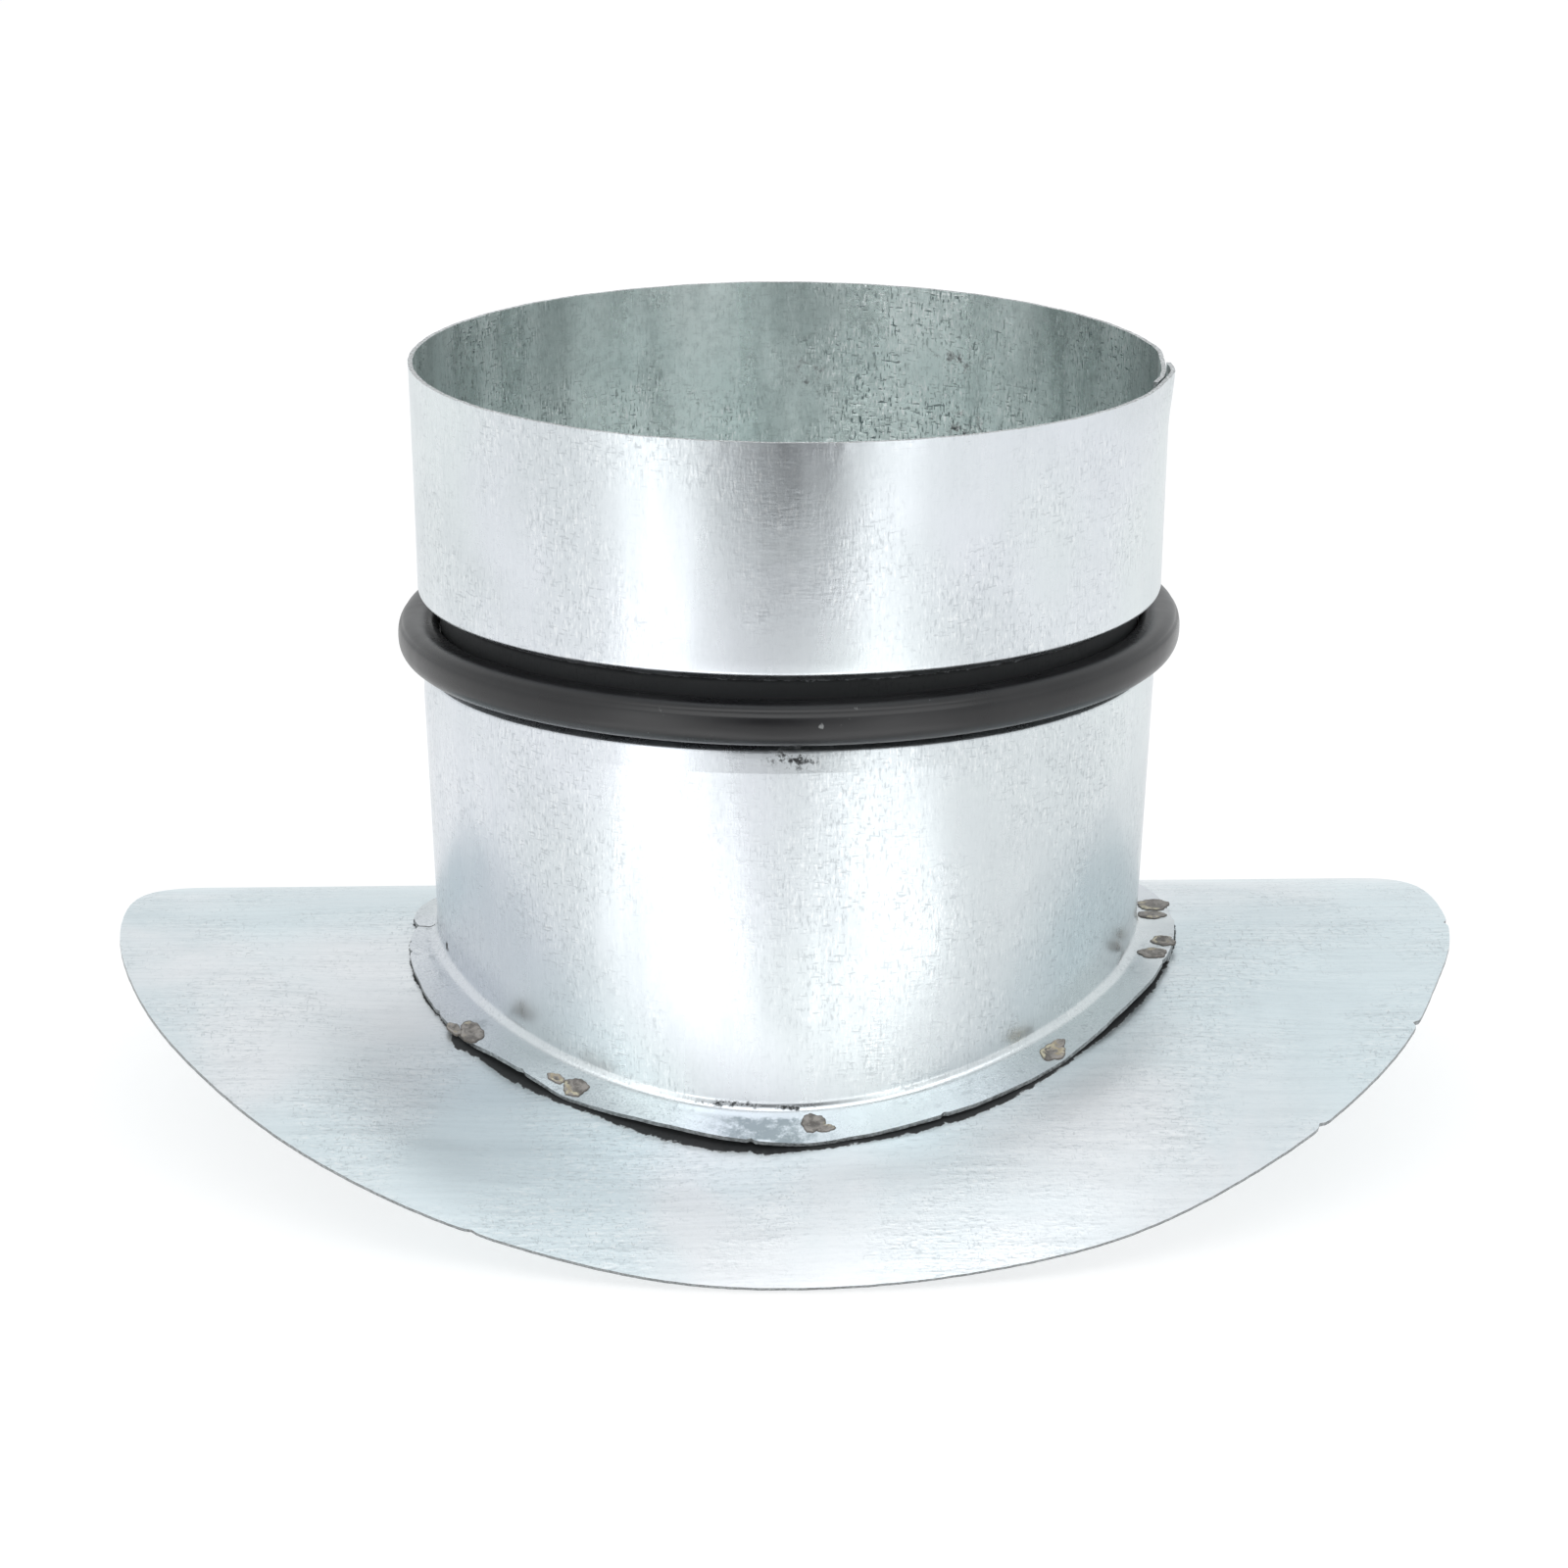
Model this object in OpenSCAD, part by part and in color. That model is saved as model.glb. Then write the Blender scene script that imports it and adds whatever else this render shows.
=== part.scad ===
// Saddle collar for round ventilation duct: a branch spigot with a seal ring,
// spot-welded to a plate that is bent to sit on the outside of a larger duct.
// Origin: where the collar's axis meets the outside of the main duct.
// +Z runs up the collar, X runs along the main duct. Millimetres.

/* [Branch spigot] */
// Outside diameter of the plain band that goes into the branch duct
spigot_d = 99; // [97:0.5:103]
// Height of the collar's rim above the main duct
rim_z = 78.5; // [70:0.5:110]
// Height of the plain band between the rim and the seal groove
band_h = 29.5; // [20:0.5:34]
// Outside diameter of the lower body just under the groove
waist_d = 97; // [96:0.5:99]
// Outside diameter of the lower body where it meets the flange
foot_d = 94; // [92:0.5:97]

/* [Seal] */
// Height of the rolled-in groove, shoulders included
groove_h = 12.5; // [11:0.5:16]
// Depth of the groove below the plain band
groove_depth = 3.3; // [2.5:0.1:4]
// Thickness of the seal ring's section
seal_t = 5.6; // [4:0.1:6.4]

/* [Sheet] */
// Thickness of the galvanised sheet
sheet_t = 0.6; // [0.5:0.1:1]
// Angle that the collar's lap seam covers, in degrees
lap_angle = 14; // [8:1:24]

/* [Saddle plate] */
// Nominal diameter of the main duct
main_d = 225; // [200:1:400]
// Length of the plate along the main duct
plate_l = 179; // [150:1:220]
// Width of the plate round the main duct, measured on the flat blank
plate_w = 151; // [130:1:170]

/* [Flange] */
// Width of the turned-out flange
flange_w = 5; // [4:0.5:9]
// Width of the relief slit in the flange
slit_w = 0.7; // [0.4:0.1:1.5]

/* [Welds] */
// Diameter of a spot weld
weld_d = 3.8; // [3:0.1:4.4]
// Height of a spot weld above the sheet
weld_h = 0.3; // [0.2:0.1:0.5]

/* [Hidden] */

$fn = 128;

// Main duct: its outer face is the saddle's seat
duct_wall = 0.6;
seat_r = main_d / 2 + duct_wall;
plate_top_r = seat_r + sheet_t;
flange_top_r = plate_top_r + sheet_t;

// Collar levels, from the rim down
band_z = rim_z - band_h;
waist_z = band_z - groove_h;
foot_z = -14;
upper_shoulder_h = 1.5;
lower_shoulder_h = 4;
shoulder_round = 0.7;

// Collar radii, all on the outer face of the sheet
band_r = spigot_d / 2;
floor_r = band_r - groove_depth;
waist_r = waist_d / 2;
foot_r = foot_d / 2;
hole_r = foot_r - 2 * sheet_t;

// Seal ring, resting on the groove's floor
seal_gap = 0.05;
seal_r = floor_r + seal_gap + seal_t / 2;
seal_z = floor_mid_z() - 0.5;

// Places of the welds round the flange, seen from above, and up the lap seam
weld_angles = [-145, -124, -89, -47, -11, 4, 38, 72, 106, 140];
weld_row_r = foot_r + flange_w * 0.55;
seam_weld_z = [rim_z - 8, band_z + 8, waist_z - 8, waist_z - 24];

// Seam and slit places, seen from above
lap_end = -4;
lap_start = lap_end - lap_angle;
slit_angle = 181.5;

zinc = [0.80, 0.83, 0.84];
zinc_plate = [0.76, 0.80, 0.82];
rubber = [0.10, 0.10, 0.11];
burnt = [0.42, 0.39, 0.36];

// Middle of the level stretch of the groove's floor
function floor_mid_z() =
    (band_z - upper_shoulder_h + waist_z + lower_shoulder_h) / 2;

// Unit vector along a to b, and its left-hand normal
function dir(a, b) = (b - a) / norm(b - a);
function left(v) = [-v[1], v[0]];

// Outer face of the collar's sheet from the rim down, as radius and height
wall_line = [
    [band_r, rim_z],
    [band_r, band_z + shoulder_round],
    [band_r - shoulder_round, band_z],
    [floor_r + shoulder_round, band_z - upper_shoulder_h + shoulder_round / 2],
    [floor_r, band_z - upper_shoulder_h - shoulder_round / 2],
    [floor_r, waist_z + lower_shoulder_h],
    [waist_r - shoulder_round / 2, waist_z + shoulder_round],
    [waist_r, waist_z - shoulder_round],
    [foot_r, 0],
    [foot_r, foot_z],
];

// The same line moved inwards through the sheet by a distance, with mitred corners
function inset(line, d) = [
    for (i = [0 : len(line) - 1])
        let (
            before = left(dir(line[max(i - 1, 0)], line[max(i, 1)])),
            after = left(dir(line[min(i, len(line) - 2)], line[min(i + 1, len(line) - 1)])),
            mitre = (before + after) / (1 + before * after)
        )
        line[i] - mitre * d
];

function reversed(line) = [for (i = [len(line) - 1 : -1 : 0]) line[i]];

// A layer of the collar's wall between two depths below its outer face
module wall_layer(from_depth, to_depth) {
    rotate_extrude()
        polygon(concat(inset(wall_line, from_depth), reversed(inset(wall_line, to_depth))));
}

// Everything inside a cylinder that lies along the main duct
module main_cylinder(r) {
    translate([0, 0, -seat_r])
        rotate([0, 90, 0])
            cylinder(h = plate_l + 20, r = r, center = true, $fn = 360);
}

// A curved layer between two radii from the main duct's axis
module duct_layer(inner, outer) {
    difference() {
        main_cylinder(outer);
        main_cylinder(inner);
    }
}

// The plate's outline seen from above, after the oval blank is bent round the duct
module plate_outline(points = 96) {
    polygon([
        for (i = [0 : points - 1])
            let (
                a = 360 * i / points,
                arc = plate_w / 2 * sin(a)
            )
            [plate_l / 2 * cos(a), plate_top_r * sin(arc / plate_top_r * 180 / PI)]
    ]);
}

module saddle_plate() {
    color(zinc_plate)
        difference() {
            intersection() {
                duct_layer(seat_r, plate_top_r);
                translate([0, 0, -seat_r / 2])
                    linear_extrude(height = seat_r)
                        plate_outline();
            }
            cylinder(h = seat_r, r = hole_r, center = true);
        }
}

// The flange, before its underside is cut to lie on the plate
module flange() {
    difference() {
        intersection() {
            main_cylinder(flange_top_r);
            cylinder(h = seat_r, r = foot_r + flange_w, center = true);
        }
        cylinder(h = 2 * seat_r, r = foot_r - sheet_t / 2, center = true);
        rotate([0, 0, slit_angle])
            translate([foot_r + sheet_t, -slit_w / 2, -seat_r / 2])
                cube([flange_w * 2, slit_w, seat_r]);
    }
}

// The wedge, seen from above, in which the strip's two ends lie one on the other
module lap_wedge() {
    rotate([0, 0, lap_start])
        translate([0, 0, foot_z])
            linear_extrude(height = rim_z - foot_z)
                polygon([[0, 0], [spigot_d, 0], spigot_d * [1, tan(lap_angle)]]);
}

module collar() {
    color(zinc)
        difference() {
            union() {
                wall_layer(0, sheet_t);
                intersection() {
                    wall_layer(sheet_t / 2, 2 * sheet_t);
                    lap_wedge();
                }
                flange();
            }
            main_cylinder(plate_top_r);
        }
}

module seal_ring() {
    color(rubber)
        translate([0, 0, seal_z])
            rotate_extrude()
                translate([seal_r, 0])
                    circle(d = seal_t, $fn = 48);
}

// Spot welds through the flange and the plate
module flange_welds() {
    color(burnt)
        intersection() {
            duct_layer(flange_top_r, flange_top_r + weld_h);
            for (a = weld_angles)
                rotate([0, 0, a])
                    translate([weld_row_r, 0, 0])
                        cylinder(h = seat_r, d = weld_d, center = true, $fn = 32);
        }
}

// Spot welds that close the lap seam, on its inner face
module seam_welds() {
    color(burnt)
        intersection() {
            wall_layer(2 * sheet_t, 2 * sheet_t + weld_h);
            for (z = seam_weld_z)
                rotate([0, 0, (lap_start + lap_end) / 2])
                    translate([foot_r / 2, 0, z])
                        rotate([0, 90, 0])
                            cylinder(h = foot_r, d = weld_d, $fn = 32);
        }
}

saddle_plate();
collar();
seal_ring();
flange_welds();
seam_welds();
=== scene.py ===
"""Looks of a duct saddle collar: galvanised plate and collar, rubber seal ring, burnt spot welds.

Lengths are in metres. Angles round the collar are in degrees from +X, seen from above.
"""
import math

import bpy
import numpy as np
from mathutils import Matrix, Vector


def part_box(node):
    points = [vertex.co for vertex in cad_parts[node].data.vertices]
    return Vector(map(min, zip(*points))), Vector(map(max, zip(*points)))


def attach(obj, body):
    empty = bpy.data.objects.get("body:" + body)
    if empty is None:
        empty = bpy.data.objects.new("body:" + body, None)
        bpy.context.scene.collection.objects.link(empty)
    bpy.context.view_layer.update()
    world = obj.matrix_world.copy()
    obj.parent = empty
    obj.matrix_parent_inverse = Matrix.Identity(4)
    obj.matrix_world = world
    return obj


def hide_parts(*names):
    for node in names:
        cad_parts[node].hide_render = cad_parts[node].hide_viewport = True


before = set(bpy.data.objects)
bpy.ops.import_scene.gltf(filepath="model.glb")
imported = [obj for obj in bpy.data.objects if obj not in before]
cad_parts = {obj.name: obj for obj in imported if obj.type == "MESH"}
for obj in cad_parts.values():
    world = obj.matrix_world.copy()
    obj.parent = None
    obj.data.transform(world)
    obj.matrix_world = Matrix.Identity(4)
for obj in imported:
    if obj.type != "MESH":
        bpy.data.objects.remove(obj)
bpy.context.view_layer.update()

MM = 0.001

# --- Main sizes --------------------------------------------------------------------------------
plate_low, plate_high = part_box("saddle_plate")
_, collar_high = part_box("collar")
ring_low, ring_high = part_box("seal_ring")

# The collar and the plate, in the CAD's sizes
SHEET = 0.6 * MM
RIM_Z = collar_high.z
BAND_R = 49.5 * MM
BAND_Z = RIM_Z - 29.5 * MM
GROOVE_R = BAND_R - 3.3 * MM
WAIST_Z = BAND_Z - 12.5 * MM
WAIST_R = 48.5 * MM
FOOT_R = 47.0 * MM
HOLE_R = FOOT_R - 2 * SHEET
LAP_START, LAP_END = -18.0, -4.0
SEAM_WELD_Z = (RIM_Z - 8 * MM, BAND_Z + 8 * MM, WAIST_Z - 8 * MM, WAIST_Z - 24 * MM)

# The flange, its slit and its welds, a little off the CAD's as in the photo
FLANGE_W = 5.3 * MM
SLIT_ANGLE, SLIT_W = 181.5, 0.3 * MM
WELD_ANGLES = (-145, -125, -89, -50, -16, 4, 38, 72, 106, 140)

# Height of the ring's middle, thickness of its section and radius of the circle that it follows
RING_Z = (ring_low.z + ring_high.z) / 2
RING_T = ring_high.z - ring_low.z
RING_R = ring_high.x - RING_T / 2

# Outside of the main duct, which the plate sits on, and outside of the plate
SEAT_R = 113.1 * MM
PLATE_TOP_R = SEAT_R + SHEET

# The foot was cut a little askew to the plate's oval. In front the sheet is turned by this many
# degrees at the foot; the plate follows it this far out, and it fades towards the sides.
FOOT_YAW = -6.0
ASKEW_REACH = 24 * MM
ASKEW_FADE = 0.3


# --- Small tools -------------------------------------------------------------------------------
def smooth(x):
    """0 below 0, 1 above 1 and an S curve between them."""
    x = np.clip(x, 0.0, 1.0)
    return x * x * (3 - 2 * x)


def bump_at(x, centre, half_width):
    """A smooth bump of height 1 round a centre."""
    return np.exp(-(((x - centre) / half_width) ** 2))


def turn_gap(a, b):
    """The shorter way from angle b to angle a, in degrees."""
    return (np.asarray(a, float) - b + 180.0) % 360.0 - 180.0


def wobble(angle, seed, orders):
    """A closed irregular wave round the collar, about 1 high."""
    random = np.random.RandomState(seed)
    total = np.zeros_like(np.asarray(angle, float))
    for order in orders:
        height, phase = random.uniform(0.4, 1), random.uniform(0, 6.3)
        total += height * np.sin(np.radians(order * angle) + phase)
    return total / math.sqrt(len(orders))


def saddle_z(y, above):
    """Height of the surface that lies a distance above the main duct's wall."""
    return np.sqrt((SEAT_R + above) ** 2 - y**2) - SEAT_R


def askew(turn, radius):
    """How far the sheet is turned round the collar's axis: only in front, fully at the foot."""
    near = 1 - smooth((radius - FOOT_R - FLANGE_W) / ASKEW_REACH)
    return math.radians(FOOT_YAW) * near * smooth(1 - np.sin(turn) / ASKEW_FADE)


def corner_arc(start, corner, end, steps):
    """Points of the circular arc that rounds a corner between two tangent points."""
    to_start, to_end = start - corner, end - corner
    lengths = np.linalg.norm(to_start, axis=-1) * np.linalg.norm(to_end, axis=-1)
    opening = np.arccos(np.clip((to_start * to_end).sum(-1) / lengths, -1, 1))
    weight = np.sin(opening / 2)[..., None]
    points = []
    for u in np.linspace(0, 1, steps + 1):
        a, b, c = (1 - u) ** 2, 2 * u * (1 - u) * weight, u**2
        points.append((a * start + b * corner + c * end) / (a + b + c))
    return points


def sheet_mesh(name, outer, inner, present=None, closed=False, inner_slot=0, cut_slot=1):
    """A sheet between two grids of points, with walls wherever a cell is cut away or the grid ends.

    Material 0 is on the outer face and inner_slot on the inner face. Material 1 is on the wall at
    the start of the grid's lines (the collar's rim, the plate's hole), cut_slot on every other wall.
    """
    rows, columns = outer.shape[:2]
    cells = (rows if closed else rows - 1, columns - 1)
    if present is None:
        present = np.ones(cells, bool)
    index = np.arange(rows * columns).reshape(rows, columns)
    index = np.vstack([index, index[:1]]) if closed else index
    a, b = index[:-1, :-1], index[1:, :-1]
    c, d = index[1:, 1:], index[:-1, 1:]
    under = rows * columns

    def quads(mask, *corners):
        return np.stack([k[mask] for k in corners], axis=-1)

    padded = np.zeros((cells[0] + 2, cells[1] + 2), bool)
    padded[1:-1, 1:-1] = present
    if closed:
        padded[0], padded[-1] = padded[-2], padded[1]
    open_before = present & ~padded[:-2, 1:-1]
    open_after = present & ~padded[2:, 1:-1]
    open_left = present & ~padded[1:-1, :-2]
    open_right = present & ~padded[1:-1, 2:]
    faces = [quads(present, a, b, c, d), quads(present, d, c, b, a) + under]
    walls = [
        quads(open_left, b, a, a + under, b + under),
        quads(open_before, a, d, d + under, a + under),
        quads(open_after, c, b, b + under, c + under),
        quads(open_right, d, c, c + under, d + under),
    ]
    points = np.vstack([outer.reshape(-1, 3), inner.reshape(-1, 3)])
    face_list = np.vstack(faces + walls)
    used, renumbered = np.unique(face_list, return_inverse=True)
    mesh = bpy.data.meshes.new(name)
    mesh.from_pydata(points[used].tolist(), [], renumbered.reshape(-1, 4).tolist())
    slots = np.zeros(len(face_list), np.int32)
    slots[len(faces[0]):] = inner_slot
    slots[2 * len(faces[0]):] = 1
    slots[2 * len(faces[0]) + len(walls[0]):] = cut_slot
    mesh.polygons.foreach_set("material_index", slots)
    piece = finish_mesh(name, mesh)
    point_values(piece, "under", used >= under)
    return piece


def finish_mesh(name, mesh, sharp_angle=50):
    """An object for a mesh, shaded smooth but for the edges whose angle is over sharp_angle."""
    mesh.validate()
    mesh.update()
    mesh.polygons.foreach_set("use_smooth", np.ones(len(mesh.polygons), bool))
    mesh.set_sharp_from_angle(angle=math.radians(sharp_angle))
    piece = bpy.data.objects.new(name, mesh)
    bpy.context.scene.collection.objects.link(piece)
    return piece


def point_values(piece, name, values):
    """A number for each point of a piece, which its material reads by name."""
    attribute = piece.data.attributes.new(name, "FLOAT", "POINT")
    attribute.data.foreach_set("value", np.asarray(values, np.float32))


def points_of(piece):
    """A piece's points, one row of x, y and z for each."""
    co = np.zeros(len(piece.data.vertices) * 3, np.float32)
    piece.data.vertices.foreach_get("co", co)
    return co.reshape(-1, 3).astype(float)


# --- Collar ------------------------------------------------------------------------------------
# Outer face of the wall from the rim down: radius, height, rounding of the corner, rows to the next
WALL = (
    (BAND_R + 0.10 * MM, RIM_Z, 0, 6),
    (BAND_R, RIM_Z - 10 * MM, 300 * MM, 14),
    (BAND_R - 0.35 * MM, BAND_Z, 0.8 * MM, 2),
    (GROOVE_R, BAND_Z - 1.3 * MM, 0.7 * MM, 6),
    (GROOVE_R, WAIST_Z + 4.4 * MM, 1.0 * MM, 3),
    (WAIST_R - 0.10 * MM, WAIST_Z + 2.7 * MM, 0.6 * MM, 3),
    (WAIST_R, WAIST_Z - 0.1 * MM, 0.5 * MM, 26),
    (FOOT_R, 0, 0, 0),
)

# Grid lines round the collar, and rows in each rounded corner, in the foot's fillet and in the flange
TURNS = 561
ARC_STEPS = 6
FILLET_STEPS = 8
FLANGE_ROWS = 9

# The wall's lowest rows crowd towards the foot by this power
FOOT_CROWDING = 1.6

# The slit cuts this many rows from the flange's edge up; grid lines nearer than this many degrees
# to its sides are left out
SLIT_ROWS = FLANGE_ROWS + 4
SLIT_CLEAR = 0.3

# Radius of the fillet between the wall and the flange, on the outer face
FILLET_R = 1.3 * MM

# Gap between the two layers of the lap; the degrees over which the outer end's flange climbs on the
# inner end's; the degrees over which the inner end joggles back out
LAYER_GAP = 0.04 * MM
CLIMB_TURN, JOGGLE_TURN = 10, 11

# How far the flange's edge stands off the plate, in mm, in each gap that starts at a weld; the lift
# grows by this power from the welds to the middle of a gap and from the foot to the edge
EDGE_LIFT = {
    -145: 0.8, -125: 0.85, -89: 0.55, -50: 0.75, -16: 0.1,
    4: 0.5, 38: 0.6, 72: 0.4, 106: 0.5, 140: 0.35,
}
LIFT_POWER = 1.3

# Where the flange's edge runs wide or narrow: angle, extra width in mm, half width in degrees
EDGE_SWELLS = ((-146, 0.9, 13), (-112, -0.45, 12), (-62, 0.6, 12), (-30, 0.2, 10))

# Angles of the short cracks in the flange's edge, with their depth and half width in degrees
EDGE_CRACKS = (-172.5, -169, -151.5, -133, -97.5, -70, -20.5)
CRACK_DEPTH, CRACK_HALF = 0.35 * MM, 0.35

# The flange's corners before and after the slit are snipped off: depth and reach in degrees
CORNER_BEFORE, CORNER_AFTER = (1.9 * MM, 3), (2.7 * MM, 7)

# Where the flange is narrow before the slit: depth, angle from the slit, half width in degrees
NARROW_DEPTH, NARROW_AT, NARROW_HALF = 3.0 * MM, -17, 16


def wall_rows(depth):
    """Rows of the wall moved in by each depth, down to where its last straight stretch starts."""
    line = np.array([(r, z) for r, z, _, _ in WALL])
    step = np.diff(line, axis=0)
    step /= np.linalg.norm(step, axis=1)[:, None]
    outward = np.stack([-step[:, 1], step[:, 0]], axis=1)
    rows, last = [], None
    for i, (_, _, radius, subdivisions) in enumerate(WALL[:-1]):
        if i == 0:
            corner = line[0] - depth[:, None] * outward[0]
            arc = [corner]
        else:
            before, after = outward[i - 1], outward[i]
            mitre = (before + after) / (1 + before @ after)
            corner = line[i] - depth[:, None] * mitre
            turn = step[i - 1][0] * step[i][1] - step[i - 1][1] * step[i][0]
            bulges = turn < 0
            rounding = np.maximum(radius + (-depth if bulges else depth), 0.1 * MM)
            tangent = rounding * math.tan(math.acos(np.clip(step[i - 1] @ step[i], -1, 1)) / 2)
            tangent = tangent[:, None]
            start, end = corner - tangent * step[i - 1], corner + tangent * step[i]
            arc = corner_arc(start, corner, end, ARC_STEPS)
        if last is not None:
            for k in range(1, last[1]):
                rows.append(last[0] + (arc[0] - last[0]) * k / last[1])
        rows += arc
        last = (arc[-1], subdivisions)
    return rows


def edge_lift(angle):
    """Height of the flange's edge above its rest place: it springs up between the welds."""
    lift = np.zeros_like(angle)
    order = sorted(EDGE_LIFT)
    for here, there in zip(order, order[1:] + [order[0] + 360]):
        share = ((angle - here) % 360) / (there - here)
        inside = share < 1
        lift += np.where(inside, EDGE_LIFT[here] * MM * np.sin(np.pi * share) ** LIFT_POWER, 0)
    return lift


def flange_edge(angle):
    """Radius of the flange's snipped outer edge, seen from above."""
    past_slit = turn_gap(angle, SLIT_ANGLE)
    before = past_slit <= 0
    corner = np.where(
        before,
        CORNER_BEFORE[0] * np.exp(past_slit / CORNER_BEFORE[1]),
        CORNER_AFTER[0] * np.exp(-past_slit / CORNER_AFTER[1]),
    )
    narrow = NARROW_DEPTH * bump_at(past_slit, NARROW_AT, NARROW_HALF) * before
    swell = 0
    for at, extra, half in EDGE_SWELLS:
        swell += extra * MM * bump_at(turn_gap(angle, at), 0, half)
    uneven = 0.10 * MM * wobble(angle, 3, (5, 8, 13))
    uneven += 0.04 * MM * wobble(angle, 4, (29, 47, 71))
    cracks = CRACK_DEPTH * sum(bump_at(turn_gap(angle, at), 0, CRACK_HALF) for at in EDGE_CRACKS)
    return FOOT_R + FLANGE_W + swell + uneven - narrow - corner - cracks


def stack_lift(turn):
    """Lift of the outer end's flange, which lies on the inner end's flange."""
    return (SHEET + LAYER_GAP) * smooth((turn - (LAP_START + 360 - CLIMB_TURN)) / CLIMB_TURN)


def layer_depth(turn):
    """Depth of the strip's inner end below the outer face: it joggles out past the lap."""
    return (SHEET + LAYER_GAP) * (1 - smooth((turn - LAP_END) / JOGGLE_TURN))


def flange_surface(turn, radius, depth):
    """Height of the flange at a depth below its top face."""
    share = np.clip((radius - FOOT_R) / FLANGE_W, 0, 1.1)
    lift = edge_lift(turn) * share**LIFT_POWER
    angle = np.radians(turn)
    y = radius * np.sin(angle - askew(angle, radius))
    return saddle_z(y, 2 * SHEET + stack_lift(turn) - depth) + lift


def collar_face(turn, depth_below):
    """One face of the strip as a grid: a line of points from rim to flange edge for each turn."""
    depth = layer_depth(turn) + depth_below
    rows = wall_rows(depth)

    # The corner where the last stretch of the wall meets the flange, found in a few steps
    slope = (WALL[-2][0] - WALL[-1][0]) / (WALL[-2][1] - WALL[-1][1])
    up = np.array([slope, 1]) / math.hypot(slope, 1)
    radius = FOOT_R - depth
    for _ in range(4):
        height = flange_surface(turn, radius, depth_below)
        radius = FOOT_R + slope * height - depth * math.hypot(slope, 1)
    corner = np.stack([radius, height], axis=1)

    # The fillet between the wall and the flange's slope outwards
    angle = np.radians(turn)
    fall = -radius * np.sin(angle - askew(angle, radius)) ** 2 / (height + SEAT_R)
    out = np.stack([np.ones_like(fall), fall], axis=1)
    out /= np.linalg.norm(out, axis=1)[:, None]
    opening = np.arccos(np.clip(out @ up, -1, 1))
    tangent = ((FILLET_R + depth_below) / np.tan(opening / 2))[:, None]
    arc = corner_arc(corner + tangent * up, corner, corner + tangent * out, FILLET_STEPS)
    first, wall_steps = rows[-1], WALL[-2][3]
    for k in range(wall_steps - 1, 0, -1):
        rows.append(arc[0] + (first - arc[0]) * (k / wall_steps) ** FOOT_CROWDING)
    rows += arc

    edge = flange_edge(turn) + fall * depth_below
    start = arc[-1][:, 0]
    for k in range(1, FLANGE_ROWS + 1):
        along = start + (edge - start) * k / FLANGE_ROWS
        blend = smooth(k / 3)
        height = flange_surface(turn, along, depth_below)
        tangent_line = arc[-1][:, 1] + fall * (along - start)
        rows.append(np.stack([along, height * blend + tangent_line * (1 - blend)], axis=1))

    return round_off(turn, np.stack(rows, axis=1))


# Where the rim is out of round: angle, extra radius in mm, half width in degrees
RIM_SWELLS = ((180, 0.40, 26), (-27, 0.45, 20), (21, -0.35, 20), (90, 0.15, 30), (-98, -0.20, 26))

# Over its top stretch the front of the rim leans in: depth, height of the stretch, angle, half width
RIM_LEAN, LEAN_H = 0.32 * MM, 15 * MM
LEAN_AT, LEAN_HALF = -97, 24

# The rim is a little higher at the back
BACK_RISE, BACK_HALF = 0.38 * MM, 55

# How far the groove and its shoulders sag on the collar's left, by height
SAG_HEIGHTS = (0, WAIST_Z, WAIST_Z + 4.5 * MM, BAND_Z, RIM_Z)
SAG = (0, 2.0 * MM, 1.3 * MM, 0.9 * MM, 0)
SAG_HALF = 55

# Height of the rim's ragged top, how far the lap's outer end stands off and its inner end curls in
RAGGED_H = 1.2 * MM
END_STANDS_OFF, END_CURLS = 0.55 * MM, 0.30 * MM


def round_off(turn, grid):
    """Places the strip's (radius, height) grid round the axis, with the strip's small faults."""
    radius, height = grid[..., 0].copy(), grid[..., 1].copy()
    angle = turn[:, None]
    up_band = np.clip((height - BAND_Z) / (RIM_Z - BAND_Z), 0, 1)
    up_body = np.clip(height / WAIST_Z, 0, 1)
    for at, extra, half in RIM_SWELLS:
        radius += extra * MM * bump_at(turn_gap(angle, at), 0, half) * up_band**2
    near_top = np.clip(1 - (RIM_Z - height) / LEAN_H, 0, 1) ** 2
    radius -= RIM_LEAN * near_top * bump_at(turn_gap(angle, LEAN_AT), 0, LEAN_HALF)
    height += BACK_RISE * bump_at(turn_gap(angle, 90), 0, BACK_HALF) * up_band
    height -= np.interp(height, SAG_HEIGHTS, SAG) * bump_at(turn_gap(angle, 180), 0, SAG_HALF)
    radius += 0.05 * MM * wobble(angle, 12, (4, 6, 9)) * up_band
    radius += 0.06 * MM * wobble(angle, 13, (3, 5, 7)) * up_body * (1 - up_band)
    at_rim = np.clip((height - RIM_Z + RAGGED_H) / RAGGED_H, 0, 1) ** 2
    radius += 0.035 * MM * wobble(angle, 14, (61, 97, 143)) * at_rim
    height += (0.05 * MM * wobble(angle, 15, (5, 11, 37)) - 0.04 * MM) * at_rim

    # Above the first seam weld the outer end stands off, and the inner end's corner curls in
    share = (angle - (LAP_START + 360)) / (LAP_END - LAP_START)
    near_rim = smooth((height - SEAM_WELD_Z[0]) / (RIM_Z - SEAM_WELD_Z[0]))
    arch = np.sin(np.pi * np.clip(share * 0.85, 0, 1)) ** 2 * (share > 0)
    radius += END_STANDS_OFF * near_rim * arch
    radius -= END_CURLS * near_rim * (1 - smooth((angle - LAP_START) / 5))
    x = radius * np.cos(np.radians(angle))
    y = radius * np.sin(np.radians(angle))
    return np.stack([x, y, height], axis=-1)


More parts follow.
